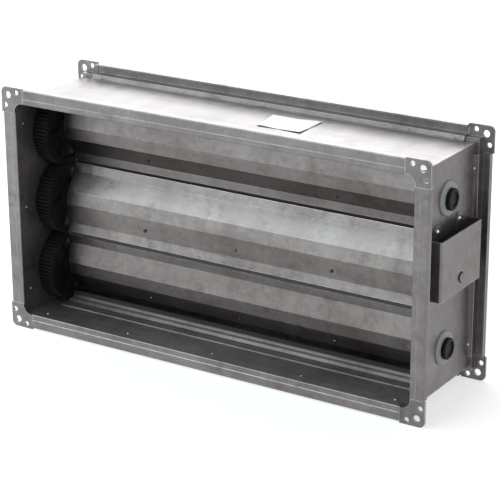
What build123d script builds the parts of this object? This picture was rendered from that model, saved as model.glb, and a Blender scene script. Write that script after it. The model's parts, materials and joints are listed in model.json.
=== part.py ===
from build123d import *
import math
import os

# Flanged rectangular volume control damper with opposed, gear-coupled blades.
# Frame: origin at the centre of the front flange face, +X to the drive side,
# +Y from the front flange to the rear flange, +Z up. All sizes in millimetres.

os.makedirs("parts", exist_ok=True)

# ---------------------------------------------------------------- driving sizes
duct_width = 600.0          # clear width between the side panels
blade_names = ["upper", "middle", "lower"]
blade_pitch = 98.0          # distance between neighbouring blade axes
edge_room = 3.0             # clear height left above and below the row of blades
casing_length = 170.0       # over the two flange faces
axis_depth = 85.0           # blade axes behind the front flange face
sheet = 1.0                 # casing sheet

flange_height = 20.0        # from the duct's inner face to the flange's edge
plate_proud = 1.0           # corner plates stand out past the profiles
profile_sheet = 0.9
profile_lip = 8.5           # depth of the profile's outer return
profile_leg = 18.0          # profile's reach along the casing
inner_leg = 12.0            # profile's reach along the inside of the duct
pocket_height = 6.5         # pocket that takes the corner plate's tongue
pocket_depth = 13.8
crease_height = 7.2         # crease in the profile's face above the pocket
crease_size = 0.8

plate_thickness = 2.5
plate_reach = 14.0          # corner plate's legs, past the duct's inner corner
plate_corner_radius = 8.0
plate_web_radius = 12.0
plate_gap = 0.3             # between a corner plate and the profile's end
bolt_inset = 10.0           # bolt hole from the flange's nominal edges
bolt_hole_radius = 4.5
fixing_inset = 5.5          # smaller holes, from the nearer edge
fixing_along = 24.0         # smaller holes, from the farther edge
fixing_hole_radius = 3.2
tongue_length = 26.0
tongue_clearance = 0.3

rivet_radius = 1.4
rivet_sides = 8
rivet_depth = 16.5          # behind the flange face
rivet_head = 0.7
long_side_rivets = 5
short_side_rivets = 3
long_rivet_margin = 29.0    # outer rivets from the ends of the long sides
short_rivet_margin = 32.0

blade_sheet = 0.8
blade_half_depth = 12.0     # from the blade's mid-plane to its outer facet
facet_half = 9.0            # half height of the centre facet
slope_end = 35.5            # where the slopes meet the lips
blade_edge = 47.8           # half height of the folded blade
blade_bend_radius = 1.5
rest_tilt = 13.0            # degrees from closed, as the blades stand
seal_overlap = 6.0          # seal's strip on the back of the lower lip
seal_thickness = 1.6
seal_reach = 3.0            # flap that passes behind the next blade's edge
seal_relief = 0.6           # flap's front face, behind the lip's back
blade_rivet_height = 25.0
blade_rivet_pitch = 145.0
blade_rivet_radius = 2.2
blade_rivet_sides = 12

gear_teeth = 60
gear_width = 23.0
gear_gap = 1.0              # between the gear and the left panel
gear_backlash = 0.3
tooth_root_overlap = 0.5    # teeth start inside the root circle
pressure_angle = 20.0
gear_rim = 5.5
gear_hub_radius = 21.0
gear_ribs = 6
gear_rib_width = 2.4
gear_recess = 3.0

bush_radius = 22.5
bush_thickness = 3.5
bush_sleeve_radius = 17.0
bush_chamfer = 2.0
running_clearance = 0.05
fixed_clearance = 0.05
journal_radius = 14.0
journal_reach = 9.0         # past the outside of the side panel
journal_chamfer = 1.2
journal_recess_radius = 9.5
journal_recess_depth = 1.5
pivot_plate = 2.0
pivot_gap = 1.0             # between the pivot's plate and the right panel
spigot_length = 18.0
spigot_clearance = 0.1

spindle_radius = 6.0
spindle_chamfer = 0.8

bracket_sheet = 2.0
bracket_reach = 21.0        # outer face, from the outside of the right panel
bracket_half_width = 54.0
bracket_below = 17.0        # below the middle axis
bracket_above = 60.0        # above the middle axis
bracket_bend_radius = 2.0
bracket_foot_end = 23.5     # inner end of the feet, from the axis
bracket_hole_radius = 8.0
ear_radius = 8.0
ear_offset = 29.0
ear_height = 64.0
bracket_rivet_radius = 3.0
bracket_rivet_sides = 16
bracket_rivet_head = 1.2

stop_sheet = 1.0
stop_foot_front = 32.0      # front edge of the stop strip's foot, from the axis
stop_foot_back = 16.0
stop_step_front = 12.0
stop_step_height = 3.5
stop_face = 3.4             # upright of the stop strip, from the axis
stop_height = 12.0
stop_end_gap = 0.5
stop_bend_radius = 0.8
stop_seal_wall = 0.9
stop_seal_overlap = 4.5
stop_seal_tip = 1.2

# ---------------------------------------------------------------- derived sizes
half_width = duct_width / 2
half_height = (len(blade_names) * blade_pitch + 2 * edge_room) / 2
wall_outside = half_width + sheet
profile_top = flange_height - plate_proud
profile_half_long = half_width - plate_reach - plate_gap
profile_half_short = half_height - plate_reach - plate_gap
panel_front = plate_thickness
panel_back = casing_length - plate_thickness
panel_middle = casing_length / 2

middle_index = (len(blade_names) - 1) / 2
blade_axis_z = {n: (middle_index - i) * blade_pitch for i, n in enumerate(blade_names)}
# The upper and lower blades lean one way from closed and the middle one leans the other way.
blade_tilt = {"upper": rest_tilt, "middle": -rest_tilt, "lower": rest_tilt}

gear_left = -half_width + gear_gap
gear_right = gear_left + gear_width
blade_left = gear_right + pivot_plate
pivot_right = half_width - pivot_gap
blade_right = pivot_right - pivot_plate
journal_end = wall_outside + journal_reach
bracket_outside = wall_outside + bracket_reach
spindle_end = bracket_outside + 2.0
spindle_start = blade_right - spigot_length

gear_module = blade_pitch / gear_teeth
tooth_addendum = gear_module
tooth_dedendum = 1.25 * gear_module
root_radius = blade_pitch / 2 - tooth_dedendum
tooth_lean = pressure_angle - 90 / gear_teeth

bush_bore_radius = journal_radius + running_clearance
panel_hole_radius = bush_sleeve_radius + fixed_clearance


def save(piece, name):
    """Label a finished piece and write it as its own STEP file."""
    piece.part.label = name
    export_step(piece.part, f"parts/{name}.step")


# ---------------------------------------------------------------- casing panels
def casing_panel_level(side):
    """Top or bottom panel: a flat sheet that lies on the side panels."""
    inner = side * half_height
    with BuildPart() as panel:
        with BuildSketch(Plane.XY.offset(inner)):
            with Locations((0, panel_middle)):
                Rectangle(2 * wall_outside, panel_back - panel_front)
        extrude(amount=side * sheet)
    return panel


def casing_panel_side(side):
    """Left or right panel: a flat sheet with a hole for each bush."""
    with BuildPart() as panel:
        with BuildSketch(Plane.YZ.offset(side * half_width)):
            with Locations((panel_middle, 0)):
                Rectangle(panel_back - panel_front, 2 * half_height)
            with Locations(*[(axis_depth, z) for z in blade_axis_z.values()]):
                Circle(panel_hole_radius, mode=Mode.SUBTRACT)
        extrude(amount=side * sheet)
    return panel


# ---------------------------------------------------------------- flange frame
def flange_profile(end, outward, inner_face, half_length):
    """Roll-formed slip-on profile. In its section x runs back from the flange
    face along the casing, and y runs outward from the duct's inner face."""
    inward = Vector(0, 1 if end == "front" else -1, 0)
    face = 0.0 if end == "front" else casing_length
    out = Vector(*outward)
    centre = out * inner_face + Vector(0, face, 0)
    half = profile_sheet / 2
    double = 1.5 * profile_sheet
    with BuildPart() as profile:
        with BuildSketch(Plane(origin=centre, x_dir=inward, z_dir=inward.cross(out))):
            with BuildLine():
                FilletPolyline(
                    (inner_leg, -half),
                    (half, -half),
                    (half, profile_top - half),
                    (profile_lip, profile_top - half),
                    radius=profile_sheet,
                )
            trace(line_width=profile_sheet)
            with BuildLine():
                FilletPolyline(
                    (profile_lip, profile_top - double),
                    (double, profile_top - double),
                    (double, pocket_height - half),
                    (pocket_depth, pocket_height - half),
                    (pocket_depth + profile_sheet, sheet + half),
                    (profile_leg, sheet + half),
                    radius=0.6 * profile_sheet,
                )
            trace(line_width=profile_sheet)
            with Locations((0, crease_height)):
                Rectangle(crease_size, crease_size, rotation=45, mode=Mode.SUBTRACT)
        extrude(amount=half_length, both=True)
    return profile


def corner_plate(end, side_x, side_z):
    """Pressed corner plate: an L with three holes and a web in the duct's
    corner, and a folded tongue that fills the pockets of both profiles.
    In its sketches x and y run outward from the duct's inner corner."""
    inward = 1 if end == "front" else -1
    face = 0.0 if end == "front" else casing_length
    turn = -side_x * side_z
    corner = Plane(
        origin=(side_x * half_width, face, side_z * half_height),
        x_dir=(side_x, 0, 0),
        z_dir=(0, turn, 0),
    )
    inward_sign = inward * turn
    edge = flange_height + plate_proud
    leg_end = -plate_reach
    bolt = flange_height - bolt_inset
    near = flange_height - fixing_inset
    far = flange_height - fixing_along
    tongue_front = profile_sheet + tongue_clearance
    tongue_back = pocket_depth - profile_sheet - tongue_clearance
    tongue_low = sheet + tongue_clearance
    tongue_high = pocket_height - profile_sheet - tongue_clearance
    tongue_end = leg_end - tongue_length
    with BuildPart() as plate:
        with BuildSketch(corner):
            with BuildLine():
                Polyline(
                    (0, 0),
                    (leg_end, 0),
                    (leg_end, edge),
                    (edge, edge),
                    (edge, leg_end),
                    (0, leg_end),
                    close=True,
                )
            make_face()
            fillet(vertices().sort_by_distance((edge, edge))[0], radius=plate_corner_radius)
            fillet(vertices().sort_by_distance((0, 0))[0], radius=plate_web_radius)
            with Locations((bolt, bolt)):
                Circle(bolt_hole_radius, mode=Mode.SUBTRACT)
            with Locations((far, near), (near, far)):
                Circle(fixing_hole_radius, mode=Mode.SUBTRACT)
        extrude(amount=inward_sign * plate_thickness)
        with BuildSketch(corner.offset(inward_sign * tongue_front)):
            with BuildLine():
                Polyline(
                    (tongue_high, tongue_high),
                    (tongue_end, tongue_high),
                    (tongue_end, tongue_low),
                    (tongue_low, tongue_low),
                    (tongue_low, tongue_end),
                    (tongue_high, tongue_end),
                    close=True,
                )
            make_face()
        extrude(amount=inward_sign * (tongue_back - tongue_front))
    return plate


def spread(count, reach):
    """Evenly spaced places from -reach to +reach."""
    return [reach * (2 * i / (count - 1) - 1) for i in range(count)]


def profile_rivets():
    """Rivets that hold the flange profiles to the casing at both ends of the
    duct: a head on the profile's leg and a head inside the duct."""
    leg_face = sheet + profile_sheet
    long_places = spread(long_side_rivets, half_width - long_rivet_margin)
    short_places = spread(short_side_rivets, half_height - short_rivet_margin)
    depths = (rivet_depth, casing_length - rivet_depth)
    with BuildPart() as rivets:
        for side in (-1, 1):
            for face, outward in ((leg_face, side), (0, -side)):
                with BuildSketch(Plane.XY.offset(side * (half_height + face))):
                    with Locations(*[(x, y) for x in long_places for y in depths]):
                        RegularPolygon(rivet_radius, rivet_sides)
                extrude(amount=outward * rivet_head)
                with BuildSketch(Plane.YZ.offset(side * (half_width + face))):
                    with Locations(*[(y, z) for z in short_places for y in depths]):
                        RegularPolygon(rivet_radius, rivet_sides)
                extrude(amount=outward * rivet_head)
    return rivets


# ---------------------------------------------------------------- blades
def blade_plane(name, x):
    """Plane across a blade at its resting tilt: x runs to the rear through the
    blade's thickness and y runs up along its height."""
    lean = math.radians(blade_tilt[name])
    return Plane(
        origin=(x, axis_depth, blade_axis_z[name]),
        x_dir=(0, math.cos(lean), math.sin(lean)),
        z_dir=(1, 0, 0),
    )


def blade_skin(name, side):
    """One folded skin: a centre facet, two slopes and two flat lips."""
    half = blade_sheet / 2
    facet = blade_half_depth - half
    with BuildPart() as skin:
        with BuildSketch(blade_plane(name, blade_left)):
            with BuildLine():
                FilletPolyline(
                    (side * half, blade_edge),
                    (side * half, slope_end),
                    (side * facet, facet_half),
                    (side * facet, -facet_half),
                    (side * half, -slope_end),
                    (side * half, -blade_edge),
                    radius=blade_bend_radius,
                )
            trace(line_width=blade_sheet)
        extrude(amount=blade_right - blade_left)
    return skin


def blade_seal(name):
    """Rubber strip on the back of the blade's lower lip, with a flap that
    closes the gap to whatever lies below it."""
    with BuildPart() as seal:
        with BuildSketch(blade_plane(name, blade_left)):
            with Locations((blade_sheet, seal_overlap - blade_edge)):
                Rectangle(
                    seal_thickness,
                    seal_overlap,
                    align=(Align.MIN, Align.MAX),
                )
            with Locations((blade_sheet + seal_relief, seal_overlap - blade_edge)):
                Rectangle(
                    seal_thickness - seal_relief,
                    seal_overlap + seal_reach,
                    align=(Align.MIN, Align.MAX),
                )
        extrude(amount=blade_right - blade_left)
    return seal


def blade_rivets(name):
    """Rivet heads on the front of the blade's lower slope."""
    half = blade_sheet / 2
    facet = blade_half_depth - half
    rise = slope_end - facet_half
    depth = facet - half
    slope_length = math.hypot(rise, depth)
    down = (blade_rivet_height - facet_half) / rise
    across = blade_plane(name, 0)
    out = Vector(-rise / slope_length, -depth / slope_length, 0)
    middle = Vector(down * depth - facet, -blade_rivet_height, 0)
    front = Plane(
        origin=across.from_local_coords(middle + out * half),
        x_dir=(1, 0, 0),
        z_dir=across.x_dir * out.X + across.y_dir * out.Y,
    )
    with BuildPart() as rivets:
        with BuildSketch(front):
            with Locations((-blade_rivet_pitch, 0), (0, 0), (blade_rivet_pitch, 0)):
                RegularPolygon(blade_rivet_radius, blade_rivet_sides)
        extrude(amount=rivet_head)
    return rivets


# ---------------------------------------------------------------- gears and pivots
def journal(plane):
    """Round journal with a chamfered, recessed end. It starts on the given
    plane, inside the duct, and reaches out through the side panel."""
    reach = journal_end - abs(plane.origin.X)
    with BuildPart() as shaft:
        with BuildSketch(plane):
            Circle(journal_radius)
        extrude(amount=reach)
        end_face = shaft.faces().sort_by(Axis(plane.origin, plane.z_dir))[-1]
        chamfer(end_face.edges(), length=journal_chamfer)
        with BuildSketch(plane.offset(reach)):
            Circle(journal_recess_radius)
        extrude(amount=-journal_recess_depth, mode=Mode.SUBTRACT)
    return shaft


def spigot(plane, direction):
    """Block that fits between the centre facets inside a blade's end."""
    with BuildPart() as block:
        with BuildSketch(plane):
            Rectangle(
                2 * (blade_half_depth - blade_sheet - spigot_clearance),
                2 * (facet_half - blade_sheet),
            )
        extrude(amount=direction * spigot_length)
    return block


def blade_gear(name):
    """Moulded gear on the left pivot: teeth, a recessed and ribbed web, and a
    bore for the pivot's journal."""
    centre = (axis_depth, blade_axis_z[name])
    first_tooth = 90 if name == "middle" else 90 + 180 / gear_teeth
    flank = math.tan(math.radians(tooth_lean))
    pitch_thickness = math.pi * gear_module / 2 - gear_backlash
    tooth_base = pitch_thickness + 2 * (tooth_dedendum + tooth_root_overlap) * flank
    tooth_height = tooth_addendum + tooth_dedendum + tooth_root_overlap
    with BuildPart() as gear:
        with BuildSketch(Plane.YZ.offset(gear_left)):
            with Locations(centre):
                RegularPolygon(root_radius, gear_teeth, rotation=first_tooth)
                with PolarLocations(root_radius - tooth_root_overlap, gear_teeth, first_tooth):
                    Trapezoid(
                        tooth_base,
                        tooth_height,
                        90 - tooth_lean,
                        rotation=-90,
                        align=(Align.CENTER, Align.MIN),
                    )
                Circle(journal_radius + fixed_clearance, mode=Mode.SUBTRACT)
        extrude(amount=gear_width)
        with BuildSketch(Plane.YZ.offset(gear_right)):
            with Locations(centre):
                Circle(root_radius - gear_rim)
                Circle(gear_hub_radius, mode=Mode.SUBTRACT)
                with PolarLocations(0, gear_ribs):
                    Rectangle(
                        root_radius,
                        gear_rib_width,
                        align=(Align.MIN, Align.CENTER),
                        mode=Mode.SUBTRACT,
                    )
        extrude(amount=-gear_recess, mode=Mode.SUBTRACT)
    return gear


def blade_pivot(name, side):
    """Moulded pivot on a blade's end: a plate that closes the blade, a spigot
    inside it and a journal through the side panel."""
    centre = (axis_depth, blade_axis_z[name])
    blade_end = blade_right if side > 0 else blade_left
    shaft = journal(Plane(origin=(blade_end, *centre), x_dir=(0, 1, 0), z_dir=(side, 0, 0)))
    block = spigot(blade_plane(name, blade_end), -side)
    with BuildPart() as pivot:
        with BuildSketch(blade_plane(name, blade_end)):
            with BuildLine():
                Polyline(
                    (blade_half_depth, 0),
                    (blade_half_depth, facet_half),
                    (blade_sheet, slope_end),
                    (blade_sheet, blade_edge),
                    (0, blade_edge),
                )
                mirror(about=Plane.YZ)
                mirror(about=Plane.XZ)
            make_face()
        extrude(amount=side * pivot_plate)
        add(shaft.part)
        add(block.part)
        if name == "middle" and side > 0:
            with BuildSketch(Plane(origin=(spindle_start, *centre), z_dir=(1, 0, 0))):
                Circle(spindle_radius + fixed_clearance)
            extrude(amount=journal_end - spindle_start, mode=Mode.SUBTRACT)
    return pivot


def drive_spindle():
    """Round spindle held in the middle pivot, which passes out through the bracket."""
    start = Plane(origin=(spindle_start, axis_depth, blade_axis_z["middle"]), z_dir=(1, 0, 0))
    with BuildPart() as spindle:
        with BuildSketch(start):
            Circle(spindle_radius)
        extrude(amount=spindle_end - spindle_start)
        chamfer(spindle.faces().sort_by(Axis.X)[-1].edges(), length=spindle_chamfer)
    return spindle


def bush(name, side):
    """Flanged bush that lines a side panel's hole and stands on its outside."""
    outside = Plane(
        origin=(side * wall_outside, axis_depth, blade_axis_z[name]),
        x_dir=(0, 1, 0),
        z_dir=(side, 0, 0),
    )
    with BuildPart() as ring:
        with BuildSketch(outside):
            Circle(bush_radius)
        extrude(amount=bush_thickness)
        rim = ring.faces().sort_by(Axis(outside.origin, outside.z_dir))[-1]
        chamfer(rim.edges(), length=bush_chamfer)
        with BuildSketch(outside):
            Circle(bush_sleeve_radius)
        extrude(amount=-sheet)
        with BuildSketch(outside.offset(-sheet)):
            Circle(bush_bore_radius)
        extrude(amount=sheet + bush_thickness, mode=Mode.SUBTRACT)
    return ring


# ---------------------------------------------------------------- actuator bracket
def actuator_bracket():
    """U-shaped bridge over the middle pivot, with inward feet and rounded ears."""
    axis_z = blade_axis_z["middle"]
    half = bracket_sheet / 2
    foot = wall_outside + half
    bridge = bracket_outside - half
    leg = bracket_half_width - half
    wall = Plane.YZ.offset(wall_outside)
    with BuildPart() as bracket:
        with BuildSketch(Plane.XY.offset(axis_z - bracket_below)):
            with BuildLine():
                FilletPolyline(
                    (foot, axis_depth - bracket_foot_end),
                    (foot, axis_depth - leg),
                    (bridge, axis_depth - leg),
                    (bridge, axis_depth + leg),
                    (foot, axis_depth + leg),
                    (foot, axis_depth + bracket_foot_end),
                    radius=bracket_bend_radius,
                )
            trace(line_width=bracket_sheet)
        extrude(amount=bracket_below + bracket_above)
        with BuildSketch(wall):
            ear_base = bracket_above - ear_radius
            with Locations(*[(axis_depth + s * ear_offset, axis_z + ear_base) for s in (-1, 1)]):
                Rectangle(
                    2 * ear_radius,
                    ear_height - ear_base,
                    align=(Align.CENTER, Align.MIN),
                )
            with Locations(*[(axis_depth + s * ear_offset, axis_z + ear_height) for s in (-1, 1)]):
                Circle(ear_radius)
        extrude(amount=bracket_sheet)
        with BuildSketch(wall):
            with Locations((axis_depth, axis_z)):
                Circle(bracket_hole_radius)
        extrude(amount=bracket_reach, mode=Mode.SUBTRACT)
    return bracket


def bracket_rivets():
    """Rivet heads in the ears and at the lower ends of the feet."""
    axis_z = blade_axis_z["middle"]
    foot_low = axis_z - bracket_below + ear_radius
    places = [
        (axis_depth + s * ear_offset, z)
        for s in (-1, 1)
        for z in (axis_z + ear_height, foot_low)
    ]
    with BuildPart() as rivets:
        with BuildSketch(Plane.YZ.offset(wall_outside + bracket_sheet)):
            with Locations(*places):
                RegularPolygon(bracket_rivet_radius, bracket_rivet_sides)
        extrude(amount=bracket_rivet_head)
    return rivets


# ---------------------------------------------------------------- stop strips
stop_length = half_width - stop_end_gap - (gear_right + stop_end_gap)


def stop_plane(level):
    """Section plane at the right end of the top or bottom stop strip: x runs
    away from the blade it stops and y runs from the panel into the duct."""
    return Plane(
        origin=(half_width - stop_end_gap, axis_depth, level * half_height),
        x_dir=(0, level, 0),
        z_dir=(-1, 0, 0),
    )


def stop_strip(level):
    """Folded strip that closes the gap past an outer blade: a foot on the
    panel, a step and an upright that the closed blade meets."""
    half = stop_sheet / 2
    with BuildPart() as strip:
        with BuildSketch(stop_plane(level)):
            with BuildLine():
                FilletPolyline(
                    (stop_foot_front, half),
                    (stop_foot_back, half),
                    (stop_step_front, stop_step_height),
                    (stop_face, stop_step_height),
                    (stop_face, stop_height),
                    radius=stop_bend_radius,
                )
            trace(line_width=stop_sheet)
        extrude(amount=stop_length)
    return strip


def stop_seal(level):
    """Rubber channel pushed over the edge of a stop strip's upright."""
    with BuildPart() as seal:
        with BuildSketch(stop_plane(level)):
            with Locations((stop_face, stop_height - stop_seal_overlap)):
                Rectangle(
                    stop_sheet + 2 * stop_seal_wall,
                    stop_seal_overlap + stop_seal_tip,
                    align=(Align.CENTER, Align.MIN),
                )
                Rectangle(
                    stop_sheet,
                    stop_seal_overlap,
                    align=(Align.CENTER, Align.MIN),
                    mode=Mode.SUBTRACT,
                )
        extrude(amount=stop_length)
    return seal


# ---------------------------------------------------------------- the damper
sides = {"left": -1, "right": 1}
levels = {"bottom": -1, "top": 1}

for level, sign in levels.items():
    save(casing_panel_level(sign), f"casing_{level}_panel")
    save(stop_strip(sign), f"{level}_stop_strip")
    save(stop_seal(sign), f"{level}_stop_seal")
for side, sign in sides.items():
    save(casing_panel_side(sign), f"casing_{side}_panel")
    for name in blade_names:
        save(bush(name, sign), f"{name}_{side}_bush")

for end in ("front", "rear"):
    for level, sign in levels.items():
        profile = flange_profile(end, (0, 0, sign), half_height, profile_half_long)
        save(profile, f"{end}_{level}_profile")
    for side, sign in sides.items():
        profile = flange_profile(end, (sign, 0, 0), half_width, profile_half_short)
        save(profile, f"{end}_{side}_profile")
    for level, level_sign in levels.items():
        for side, side_sign in sides.items():
            save(corner_plate(end, side_sign, level_sign), f"{end}_{level}_{side}_corner")
save(profile_rivets(), "profile_rivets")

for name in blade_names:
    save(blade_skin(name, -1), f"{name}_blade_front_skin")
    save(blade_skin(name, 1), f"{name}_blade_rear_skin")
    save(blade_seal(name), f"{name}_blade_seal")
    save(blade_rivets(name), f"{name}_blade_rivets")
    save(blade_gear(name), f"{name}_gear")
    save(blade_pivot(name, -1), f"{name}_left_pivot")
    save(blade_pivot(name, 1), f"{name}_pivot")
save(drive_spindle(), "drive_spindle")

save(actuator_bracket(), "actuator_bracket")
save(bracket_rivets(), "bracket_rivets")
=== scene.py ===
import json
import math
import bmesh
import bpy
from mathutils import Matrix, Vector


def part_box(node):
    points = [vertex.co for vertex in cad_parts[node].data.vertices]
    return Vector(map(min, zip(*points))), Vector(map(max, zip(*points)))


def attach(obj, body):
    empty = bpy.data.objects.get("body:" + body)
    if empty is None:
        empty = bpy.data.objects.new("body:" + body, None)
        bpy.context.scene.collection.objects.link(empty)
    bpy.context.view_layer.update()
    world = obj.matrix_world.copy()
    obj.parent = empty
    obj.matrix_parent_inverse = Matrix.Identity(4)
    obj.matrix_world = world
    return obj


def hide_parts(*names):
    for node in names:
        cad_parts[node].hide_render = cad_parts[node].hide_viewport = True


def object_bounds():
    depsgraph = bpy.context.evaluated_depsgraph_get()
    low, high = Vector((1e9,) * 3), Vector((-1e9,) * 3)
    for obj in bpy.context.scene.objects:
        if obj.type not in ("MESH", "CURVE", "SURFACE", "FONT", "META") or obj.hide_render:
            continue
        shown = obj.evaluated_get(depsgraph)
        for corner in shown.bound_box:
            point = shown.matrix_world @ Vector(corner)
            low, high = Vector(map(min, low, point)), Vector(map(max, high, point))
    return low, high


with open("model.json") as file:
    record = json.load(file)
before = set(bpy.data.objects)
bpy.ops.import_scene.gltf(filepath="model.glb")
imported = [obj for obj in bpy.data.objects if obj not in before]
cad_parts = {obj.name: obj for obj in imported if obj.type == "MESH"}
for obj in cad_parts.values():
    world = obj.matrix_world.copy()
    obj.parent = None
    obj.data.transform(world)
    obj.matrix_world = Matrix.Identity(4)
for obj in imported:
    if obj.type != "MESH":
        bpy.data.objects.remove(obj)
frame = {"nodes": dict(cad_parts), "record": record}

cad_low, cad_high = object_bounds()

# ---------------------------------------------------------------- camera
duct_depth = cad_high.y - cad_low.y
duct_centre = Vector((0.0, duct_depth / 2, 0.0))
camera_azimuth = math.radians(32.6)
camera_elevation = math.radians(20.0)
camera_roll = math.radians(-0.3)
camera_distance = 2.54
camera_aim = duct_centre + Vector((0.0156, 0.0, -0.0232))
camera_lens = 139.8
camera_sensor = 36.0


def link(item):
    bpy.context.scene.collection.objects.link(item)
    return item


def place_camera():
    """A long lens to the right of the front face, looking down at the duct."""
    back = Vector((
        math.sin(camera_azimuth) * math.cos(camera_elevation),
        -math.cos(camera_azimuth) * math.cos(camera_elevation),
        math.sin(camera_elevation),
    ))
    data = bpy.data.cameras.new("camera")
    data.lens = camera_lens
    data.sensor_width = camera_sensor
    camera = link(bpy.data.objects.new("camera", data))
    camera.location = camera_aim + back * camera_distance
    camera.rotation_mode = "QUATERNION"
    turn = (-back).to_track_quat("-Z", "Y")
    camera.rotation_quaternion = turn @ Matrix.Rotation(camera_roll, 4, "Z").to_quaternion()
    bpy.context.scene.camera = camera


place_camera()


# ---------------------------------------------------------------- studio
floor_level = cad_low.z
floor_size = 30.0
floor_albedo = 0.5
floor_white = 0.66
world_grey = 0.45
lamp_distance = 2.8
back_lamp_radiance = 4.0
front_lamp_radiance = 2.75
back_lamp_colour = (0.97, 1.0, 1.0)
front_lamp_colour = (0.84, 1.0, 0.98)


def seen_rays(tree):
    """1 for camera, glossy and transmission rays, and 0 for the others."""
    rays = tree.nodes.new("ShaderNodeLightPath")
    total = rays.outputs["Is Camera Ray"]
    for name in ("Is Glossy Ray", "Is Transmission Ray"):
        step = tree.nodes.new("ShaderNodeMath")
        step.operation = "MAXIMUM"
        tree.links.new(total, step.inputs[0])
        tree.links.new(rays.outputs[name], step.inputs[1])
        total = step.outputs["Value"]
    return total


def make_floor():
    """A pale level floor that reads white and keeps the damper's shadow."""
    mesh = bpy.data.meshes.new("floor")
    half = floor_size / 2
    corners = [(-half, -half), (half, -half), (half, half), (-half, half)]
    mesh.from_pydata([(x, y, floor_level) for x, y in corners], [], [(0, 1, 2, 3)])
    floor = link(bpy.data.objects.new("floor", mesh))
    material = bpy.data.materials.new("pale_floor")
    material.use_nodes = True
    tree = material.node_tree
    tree.nodes.clear()
    lit = tree.nodes.new("ShaderNodeBsdfDiffuse")
    lit.inputs["Color"].default_value = (floor_albedo, floor_albedo, floor_albedo, 1)
    white = tree.nodes.new("ShaderNodeEmission")
    white.inputs["Color"].default_value = (floor_white, floor_white, floor_white, 1)
    tree.links.new(seen_rays(tree), white.inputs["Strength"])
    both = tree.nodes.new("ShaderNodeAddShader")
    tree.links.new(lit.outputs["BSDF"], both.inputs[0])
    tree.links.new(white.outputs["Emission"], both.inputs[1])
    output = tree.nodes.new("ShaderNodeOutputMaterial")
    tree.links.new(both.outputs["Shader"], output.inputs["Surface"])
    mesh.materials.append(material)


def softbox(name, azimuth, elevation, width, height, radiance, colour):
    """A rectangular area light that faces the damper. Azimuth 0 is in front of
    it and 90 on its right."""
    away = Vector((
        math.sin(math.radians(azimuth)) * math.cos(math.radians(elevation)),
        -math.cos(math.radians(azimuth)) * math.cos(math.radians(elevation)),
        math.sin(math.radians(elevation)),
    ))
    light = bpy.data.lights.new(name, "AREA")
    light.shape = "RECTANGLE"
    light.size = width
    light.size_y = height
    light.energy = radiance * math.pi * width * height
    light.color = colour
    lamp = link(bpy.data.objects.new(name, light))
    lamp.location = duct_centre + away * lamp_distance
    lamp.rotation_mode = "QUATERNION"
    lamp.rotation_quaternion = (-away).to_track_quat("-Z", "Y")
    lamp.visible_camera = False


def light_studio():
    """A grey world that looks white to the camera, and two large softboxes."""
    world = bpy.data.worlds.new("studio")
    world.use_nodes = True
    tree = world.node_tree
    tree.nodes.clear()
    soft = tree.nodes.new("ShaderNodeBackground")
    soft.inputs["Color"].default_value = (world_grey, world_grey, world_grey, 1)
    white = tree.nodes.new("ShaderNodeBackground")
    white.inputs["Color"].default_value = (1, 1, 1, 1)
    choose = tree.nodes.new("ShaderNodeMixShader")
    tree.links.new(seen_rays(tree), choose.inputs["Fac"])
    tree.links.new(soft.outputs["Background"], choose.inputs[1])
    tree.links.new(white.outputs["Background"], choose.inputs[2])
    output = tree.nodes.new("ShaderNodeOutputWorld")
    tree.links.new(choose.outputs["Shader"], output.inputs["Surface"])
    bpy.context.scene.world = world
    softbox("back_softbox", -147, 32, 3.4, 1.7, back_lamp_radiance, back_lamp_colour)
    softbox("front_softbox", -33, 32, 3.2, 2.6, front_lamp_radiance, front_lamp_colour)


make_floor()
light_studio()


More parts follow.
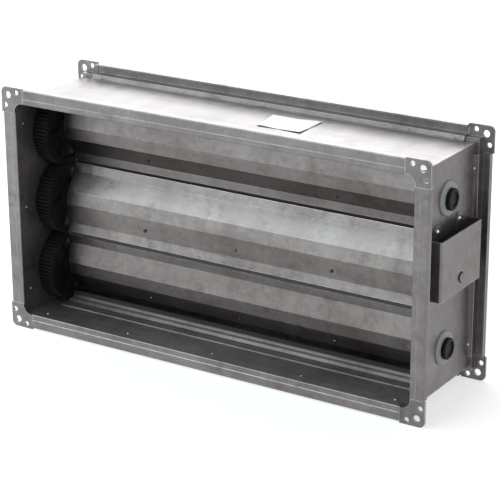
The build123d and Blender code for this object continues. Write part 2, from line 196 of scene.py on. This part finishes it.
# ---------------------------------------------------------------- materials
class Nodes:
    """Small helper for building one object-space procedural material."""

    def __init__(self, name):
        self.material = bpy.data.materials.new(name)
        self.material.use_nodes = True
        self.tree = self.material.node_tree
        self.shader = self.tree.nodes["Principled BSDF"]
        self.place = self.tree.nodes.new("ShaderNodeTexCoord").outputs["Object"]

    def link(self, source, target):
        self.tree.links.new(source, target)

    def stretched(self, scale):
        node = self.tree.nodes.new("ShaderNodeMapping")
        node.inputs["Scale"].default_value = scale
        self.link(self.place, node.inputs["Vector"])
        return node.outputs["Vector"]

    def noise(self, scale, detail=3.0, roughness=0.55, stretch=None):
        node = self.tree.nodes.new("ShaderNodeTexNoise")
        node.inputs["Scale"].default_value = scale
        node.inputs["Detail"].default_value = detail
        node.inputs["Roughness"].default_value = roughness
        self.link(self.stretched(stretch) if stretch else self.place, node.inputs["Vector"])
        return node.outputs["Fac"]

    def cells(self, scale):
        """One grey value per crystal of a zinc coat."""
        node = self.tree.nodes.new("ShaderNodeTexVoronoi")
        node.inputs["Scale"].default_value = scale
        self.link(self.place, node.inputs["Vector"])
        grey = self.tree.nodes.new("ShaderNodeSeparateColor")
        self.link(node.outputs["Color"], grey.inputs["Color"])
        return grey.outputs["Red"]

    def range(self, value, low, high, start=0.0, end=1.0):
        """Map start to end onto low to high, held at the ends."""
        node = self.tree.nodes.new("ShaderNodeMapRange")
        node.inputs["From Min"].default_value = start
        node.inputs["From Max"].default_value = end
        node.inputs["To Min"].default_value = low
        node.inputs["To Max"].default_value = high
        self.link(value, node.inputs["Value"])
        return node.outputs["Result"]

    def math(self, operation, first, second):
        node = self.tree.nodes.new("ShaderNodeMath")
        node.operation = operation
        for socket, value in zip(node.inputs, (first, second)):
            if isinstance(value, (int, float)):
                socket.default_value = value
            else:
                self.link(value, socket)
        return node.outputs["Value"]

    def mix(self, factor, first, second):
        """Blend two colours, each a socket or an RGB triple."""
        node = self.tree.nodes.new("ShaderNodeMix")
        node.data_type = "RGBA"
        self.link(factor, node.inputs["Factor"])
        for socket, value in ((node.inputs[6], first), (node.inputs[7], second)):
            if isinstance(value, tuple):
                socket.default_value = (*value, 1)
            else:
                self.link(value, socket)
        return node.outputs[2]

    def edges(self, radius, start, end):
        """1 along sharp outside and inside edges, and 0 on flat faces."""
        rounded = self.tree.nodes.new("ShaderNodeBevel")
        rounded.samples = 6
        rounded.inputs["Radius"].default_value = radius
        flat = self.tree.nodes.new("ShaderNodeNewGeometry")
        turn = self.tree.nodes.new("ShaderNodeVectorMath")
        turn.operation = "DOT_PRODUCT"
        self.link(rounded.outputs["Normal"], turn.inputs[0])
        self.link(flat.outputs["Normal"], turn.inputs[1])
        return self.range(turn.outputs["Value"], 1.0, 0.0, start, end)

    def bump(self, height, distance, strength=1.0):
        node = self.tree.nodes.new("ShaderNodeBump")
        node.inputs["Strength"].default_value = strength
        node.inputs["Distance"].default_value = distance
        self.link(height, node.inputs["Height"])
        self.link(node.outputs["Normal"], self.shader.inputs["Normal"])

    def finish(self, colour, roughness, metallic=0.0):
        self.link(colour, self.shader.inputs["Base Color"])
        self.link(roughness, self.shader.inputs["Roughness"])
        self.shader.inputs["Metallic"].default_value = metallic
        return self.material


def zinc_sheet(name, dark, light, stain, edge_wear_and_highlight, rough_low, rough_high, metallic):
    """Galvanised sheet: faint spangle, rolling streaks along X, upright scuffed patches,
    cloudy stains, small dark specks, and edges lightened partly by wear and partly as a painted highlight."""
    steel = Nodes(name)
    spangle = steel.cells(140.0)
    cloud = steel.noise(8.0, 5.0, 0.6)
    streak = steel.noise(75.0, 2.0, stretch=(0.1, 1.0, 1.0))
    patch = steel.noise(24.0, 3.0, stretch=(1.0, 0.3, 0.25))
    tone = steel.math("ADD", steel.range(spangle, 0.0, 0.3), steel.range(cloud, 0.0, 0.5, 0.3, 0.7))
    tone = steel.math("ADD", tone, steel.range(streak, -0.15, 0.15, 0.3, 0.7))
    tone = steel.math("ADD", tone, steel.range(patch, -0.1, 0.3, 0.35, 0.65))
    colour = steel.mix(tone, dark, light)
    speck = steel.noise(380.0, 2.0)
    colour = steel.mix(steel.range(speck, 0.0, 0.6, 0.62, 0.74), colour, stain)
    dirt = steel.noise(30.0, 5.0, 0.7)
    colour = steel.mix(steel.range(dirt, 0.0, 0.55, 0.56, 0.72), colour, stain)
    # Edge lightening: part real wear on the zinc, part a painted highlight along edges and bends.
    edge_wear_and_highlight_mask = steel.math("MULTIPLY", steel.edges(0.0012, 0.8, 0.99), steel.range(dirt, 1.0, 0.35, 0.4, 0.65))
    colour = steel.mix(edge_wear_and_highlight_mask, colour, edge_wear_and_highlight)
    steel.bump(steel.math("ADD", steel.noise(650.0, 3.0), steel.range(patch, 0.0, 3.0)), 0.0002, 0.3)
    gloss = steel.math("ADD", steel.range(cloud, 0.0, 0.06, 0.3, 0.7), steel.range(spangle, 0.0, 0.05))
    return steel.finish(colour, steel.range(gloss, rough_low, rough_high, 0.0, 0.11), metallic)


def plain_metal(name, dark, light, rough_low, rough_high):
    """Small plated parts: soft mottling and fine scratches."""
    steel = Nodes(name)
    cloud = steel.noise(70.0, 4.0)
    colour = steel.mix(steel.range(cloud, 0.0, 1.0, 0.3, 0.7), dark, light)
    steel.bump(steel.noise(900.0, 2.0), 0.0001, 0.3)
    return steel.finish(colour, steel.range(cloud, rough_low, rough_high, 0.3, 0.7), 1.0)


def moulded(name, dark, light, rough_low, rough_high, grain, specular=0.5):
    """Moulded plastic or rubber: slight mottling, a fine skin and handling marks."""
    plastic = Nodes(name)
    cloud = plastic.noise(35.0, 4.0)
    scuff = plastic.noise(260.0, 3.0, 0.7, stretch=(1.0, 0.3, 1.0))
    clouded = plastic.range(cloud, 0.0, 0.7, 0.3, 0.7)
    tone = plastic.math("ADD", clouded, plastic.range(scuff, 0.0, 0.3, 0.4, 0.8))
    colour = plastic.mix(tone, dark, light)
    plastic.bump(plastic.noise(grain, 2.0), 0.0002, 0.3)
    plastic.shader.inputs["Specular IOR Level"].default_value = specular
    return plastic.finish(colour, plastic.range(scuff, rough_low, rough_high, 0.35, 0.75))


# Bright edge colours: real wear and a painted highlight on sheet edges.
edge_wear_and_highlight_zinc = (0.62, 0.62, 0.62)
edge_wear_and_highlight_corner = (0.75, 0.75, 0.75)
# The steel tones are zinc grey darkened and browned to stand in for the dark brownish surroundings the
# sheet reflects: a painted reflection and shade.
slot_materials = {
    "galvanised_steel": zinc_sheet(
        "galvanised_steel", (0.155, 0.138, 0.138), (0.26, 0.242, 0.242), (0.08, 0.068, 0.068),
        edge_wear_and_highlight_zinc, 0.32, 0.44, 0.8),
    "corner_steel": zinc_sheet(
        "corner_steel", (0.14, 0.125, 0.125), (0.24, 0.23, 0.23), (0.07, 0.058, 0.055),
        edge_wear_and_highlight_corner, 0.36, 0.5, 0.9),
    "blade_steel": zinc_sheet(
        "blade_steel", (0.14, 0.122, 0.122), (0.225, 0.21, 0.207), (0.078, 0.065, 0.065),
        edge_wear_and_highlight_zinc, 0.26, 0.38, 1.0),
    "rivet_steel": plain_metal("rivet_steel", (0.6, 0.6, 0.6), (0.85, 0.85, 0.85), 0.2, 0.35),
    "spindle_steel": plain_metal("spindle_steel", (0.1, 0.09, 0.09), (0.2, 0.19, 0.19), 0.25, 0.4),
    "black_plastic": moulded(
        "black_plastic", (0.004, 0.004, 0.004), (0.009, 0.009, 0.009), 0.5, 0.7, 900.0, 0.2),
    "light_plastic": moulded("light_plastic", (0.42, 0.46, 0.44), (0.52, 0.56, 0.54), 0.4, 0.55, 700.0),
    "seal_rubber": moulded("seal_rubber", (0.004, 0.0035, 0.0035), (0.01, 0.009, 0.009), 0.5, 0.7, 1200.0),
}
dull_rivet = plain_metal("dull_rivet_steel", (0.07, 0.06, 0.06), (0.12, 0.11, 0.11), 0.35, 0.5)
node_slots = {part["node"]: part["material_slot"] for part in frame["record"]["subparts"]}
for node, item in frame["nodes"].items():
    item.data.materials.clear()
    item.data.materials.append(slot_materials[node_slots[node]])


# ---------------------------------------------------------------- detail pieces
bodies = frame["record"]["behaviour"]["bodies"]
body_of = {node: body for body, nodes in bodies.items() for node in nodes}


def add_piece(name, build, material, body, smooth=True):
    """Put a bmesh in the scene as a piece that rides on a CAD body."""
    bmesh.ops.recalc_face_normals(build, faces=build.faces)
    mesh = bpy.data.meshes.new(name)
    build.to_mesh(mesh)
    build.free()
    mesh.materials.append(material)
    for face in mesh.polygons:
        face.use_smooth = smooth
    piece = link(bpy.data.objects.new(name, mesh))
    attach(piece, body)
    return piece


def turned(build, centre, axis, outline, sides=20):
    """Revolve (radius, height) points round an axis. The first radius is the
    outer foot and the last point is the middle."""
    spin = axis.to_track_quat("Z", "Y")
    rings = []
    for radius, height in outline[:-1]:
        ring = []
        for step in range(sides):
            angle = 2 * math.pi * step / sides
            flat = Vector((math.cos(angle) * radius, math.sin(angle) * radius, height))
            ring.append(build.verts.new(centre + spin @ flat))
        rings.append(ring)
    tip = build.verts.new(centre + axis * outline[-1][1])
    foot = build.verts.new(centre + axis * outline[0][1])
    for low, high in zip(rings, rings[1:]):
        for step in range(sides):
            after = (step + 1) % sides
            build.faces.new((low[step], low[after], high[after], high[step]))
    for step in range(sides):
        after = (step + 1) % sides
        build.faces.new((rings[-1][step], rings[-1][after], tip))
        build.faces.new((rings[0][after], rings[0][step], foot))


def islands(node):
    """The vertex places of each separate solid in a CAD node."""
    work = bmesh.new()
    work.from_mesh(frame["nodes"][node].data)
    bmesh.ops.remove_doubles(work, verts=work.verts, dist=1e-6)
    left = set(work.verts)
    found = []
    while left:
        start = left.pop()
        group, queue = [start], [start]
        while queue:
            for edge in queue.pop().link_edges:
                for vert in edge.verts:
                    if vert in left:
                        left.remove(vert)
                        group.append(vert)
                        queue.append(vert)
        found.append([vert.co.copy() for vert in group])
    work.free()
    return sorted(found, key=lambda group: tuple(round(v, 4) for v in group_centre(group)))


def group_centre(group):
    return sum(group, Vector()) / len(group)


def head_frame(group):
    """Foot centre, axis, radius and height of a rivet head, guessed from two of
    its farthest points.

    Known fault: those points needn't both be on the foot's ring, so the axis
    comes out tilted, and their order differs from run to run, because islands()
    takes the vertices from a set."""
    middle = group_centre(group)
    far = sorted(group, key=lambda place: -(place - middle).length)
    across = (far[0] - middle).normalized()
    axis = None
    for place in far[1:]:
        side = across.cross((place - middle).normalized())
        if side.length > 0.5 and abs((place - middle).length - (far[0] - middle).length) < 2e-5:
            axis = side.normalized()
            break
    heights = [(place - middle).dot(axis) for place in group]
    radii = [((place - middle) - axis * h).length for place, h in zip(group, heights)]
    radius = max(radii)
    foot = sum(h for h, r in zip(heights, radii) if r > radius * 0.98) / max(
        1, sum(1 for r in radii if r > radius * 0.98))
    low, high = min(heights), max(heights)
    if foot > (low + high) / 2:
        axis, low, high = -axis, -high, -low
    return middle + axis * low, axis, radius, high - low


def round_rivets(node, material):
    """Smooth domed heads in place of a node's many-sided ones."""
    build = bmesh.new()
    for group in islands(node):
        foot, axis, radius, height = head_frame(group)
        outline = [(radius, 0.0), (radius, height * 0.25)]
        for step in range(1, 5):
            angle = math.pi / 2 * step / 5
            outline.append((radius * math.cos(angle), height * (0.25 + 0.75 * math.sin(angle))))
        outline.append((0.0, height))
        turned(build, foot, axis, outline)
    piece = add_piece(f"{node}_heads", build, material, body_of[node])
    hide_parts(node)


for node in ("profile_rivets", "bracket_rivets"):
    round_rivets(node, slot_materials["rivet_steel"])
for name in ("upper", "middle", "lower"):
    round_rivets(f"{name}_blade_rivets", dull_rivet)


def soft_lip(name, extra, lean):
    """The blade's rubber seal with a free lip that is longer than the CAD's by
    extra: the tip goes on down along the blade, past the next blade's edge."""
    node = f"{name}_blade_seal"
    build = bmesh.new()
    build.from_mesh(frame["nodes"][node].data)
    bmesh.ops.remove_doubles(build, verts=build.verts, dist=1e-6)
    lowest = min(vert.co.z for vert in build.verts)
    for vert in build.verts:
        if vert.co.z < lowest + lip_tip_height:
            vert.co += Vector((0.0, math.sin(lean), -math.cos(lean))) * extra
    piece = add_piece(f"{node}_lip", build, slot_materials["seal_rubber"],
                      body_of[node], smooth=False)
    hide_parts(node)


rest_tilt = math.radians(13.0)
lip_tip_height = 0.0006
upper_lip_extra = 0.0034
middle_lip_extra = 0.0026
soft_lip("upper", upper_lip_extra, rest_tilt)
soft_lip("middle", middle_lip_extra, -rest_tilt)


def paper_label():
    """A bare paper label stuck a little askew on the top panel, with raised
    corners and soft creases."""
    panel_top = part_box("casing_top_panel")[1].z
    clearance, curl, crease_height = 0.0002, 0.0012, 0.00012
    outline = ((0.032, 0.076), (0.097, 0.075), (0.097, 0.131), (0.027, 0.125))
    corners = [Vector(corner) for corner in outline]
    build = bmesh.new()
    across, along, thick = 16, 14, 0.00012
    layers = []
    for level in (0.0, thick):
        rows = []
        for row in range(along + 1):
            t = row / along
            line = []
            for column in range(across + 1):
                s = column / across
                near = corners[0].lerp(corners[1], s)
                place = near.lerp(corners[3].lerp(corners[2], s), t)
                edge = max(abs(2 * s - 1), abs(2 * t - 1)) ** 8 * abs(2 * s - 1) * abs(2 * t - 1)
                crease = crease_height * math.sin(9 * s + 4 * t) * math.sin(3 * s - 7 * t)
                rise = clearance + abs(crease) + curl * edge
                line.append(build.verts.new((place.x, place.y, panel_top + rise + level)))
            rows.append(line)
        layers.append(rows)
    for rows in layers:
        for row in range(along):
            for column in range(across):
                build.faces.new((rows[row][column], rows[row][column + 1],
                                 rows[row + 1][column + 1], rows[row + 1][column]))
    bottom, top = layers
    for row in range(along):
        for column in (0, across):
            build.faces.new((bottom[row][column], bottom[row + 1][column],
                             top[row + 1][column], top[row][column]))
    for column in range(across):
        for row in (0, along):
            build.faces.new((bottom[row][column], bottom[row][column + 1],
                             top[row][column + 1], top[row][column]))
    paper = Nodes("label_paper")
    cloud = paper.noise(45.0, 4.0)
    fibre = paper.noise(900.0, 3.0)
    colour = paper.mix(paper.range(cloud, 0.0, 1.0, 0.3, 0.7), (0.82, 0.83, 0.82), (0.9, 0.91, 0.9))
    paper.bump(fibre, 0.0001, 0.4)
    material = paper.finish(colour, paper.range(fibre, 0.55, 0.75, 0.3, 0.7))
    add_piece("paper_label", build, material, "casing")


paper_label()


# ---------------------------------------------------------------- view transform
scene = bpy.context.scene
scene.view_settings.view_transform = "Standard"
